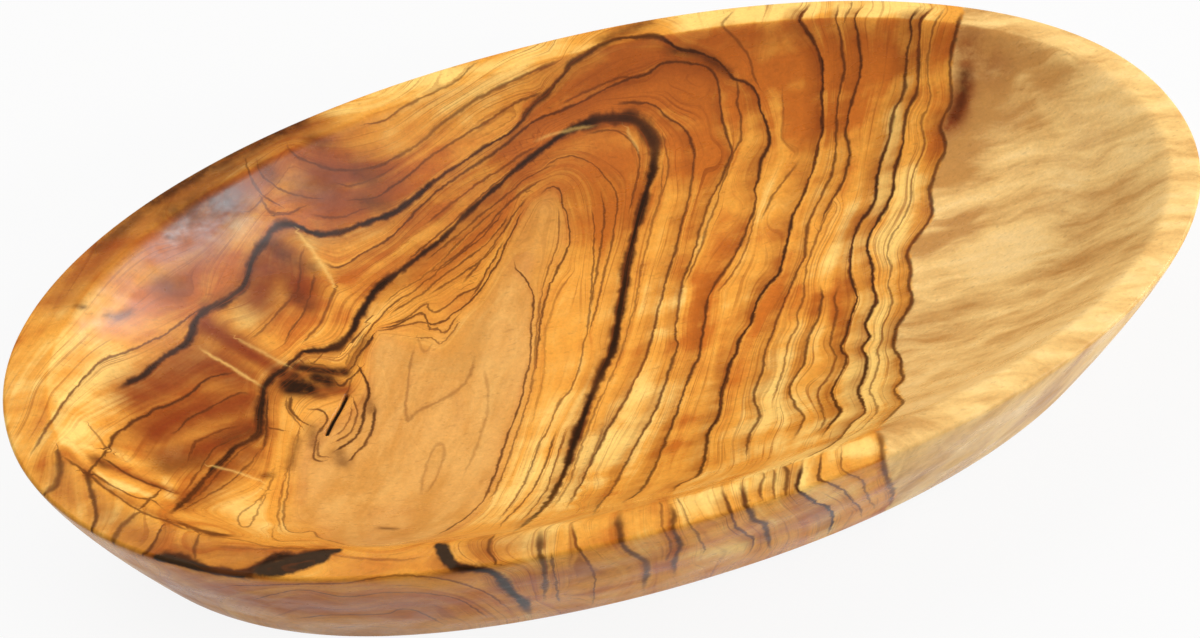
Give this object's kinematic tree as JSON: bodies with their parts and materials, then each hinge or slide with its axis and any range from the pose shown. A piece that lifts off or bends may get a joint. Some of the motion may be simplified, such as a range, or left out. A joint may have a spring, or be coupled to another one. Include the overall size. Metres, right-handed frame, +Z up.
{
  "type": "bowl",
  "caption": "Shallow oval serving bowl carved in one piece from olive wood, with a flat rim, a steep-walled hollow and a flat foot.",
  "frame": {"origin": "on the table, under the middle of the bowl's plan outline", "axes": "+X along the bowl's length towards its pale sapwood end, +Y across its width away from the viewer, +Z up out of the hollow"},
  "size_m": [0.25, 0.13, 0.039],
  "materials": {
    "oiled_olive_wood": "sanded and oiled to a soft gloss"
  },
  "bodies": {
    "root": {"bowl": "oiled_olive_wood"}
  },
  "joints": []
}
